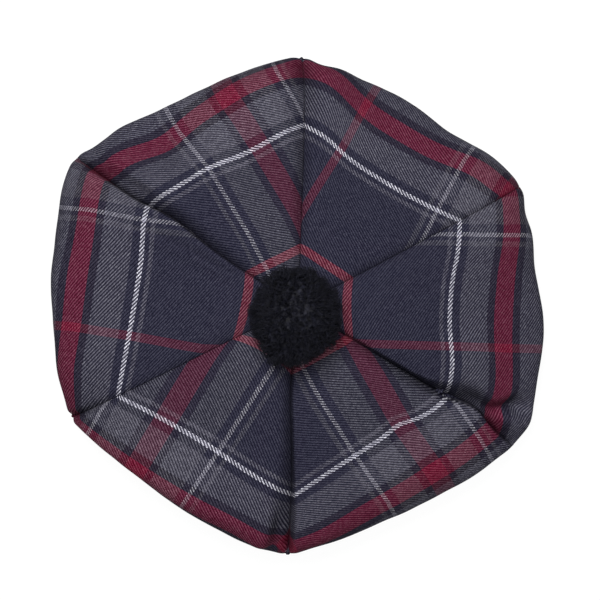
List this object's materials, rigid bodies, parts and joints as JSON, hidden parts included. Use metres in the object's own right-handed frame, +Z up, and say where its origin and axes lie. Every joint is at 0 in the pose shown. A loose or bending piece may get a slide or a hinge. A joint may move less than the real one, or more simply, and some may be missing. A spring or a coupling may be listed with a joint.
{
  "type": "tam o' shanter cap",
  "caption": "Round soft tartan cap of triangular gores with a full puffed crown, a straight headband and a black wool pompom on top.",
  "frame": {"origin": "on the surface that the headband stands on, under the middle of the crown", "axes": "+Z up through the pompom; +Y towards the cap's back, +X to its right as seen from above with the back at the top"},
  "size_m": [0.2789, 0.2825, 0.0965],
  "materials": {
    "tartan": "twill cloth in a tartan of navy ground with dark red, grey and white stripes",
    "band": "the same twill cloth, cut along its navy ground",
    "wool": "matt black wool yarn, cut short"
  },
  "bodies": {
    "root": {"gore_right": "tartan", "gore_back_right": "tartan", "gore_back_left": "tartan", "gore_left": "tartan", "gore_front_left": "tartan", "gore_front_right": "tartan", "headband": "band", "pompom": "wool"}
  },
  "joints": []
}
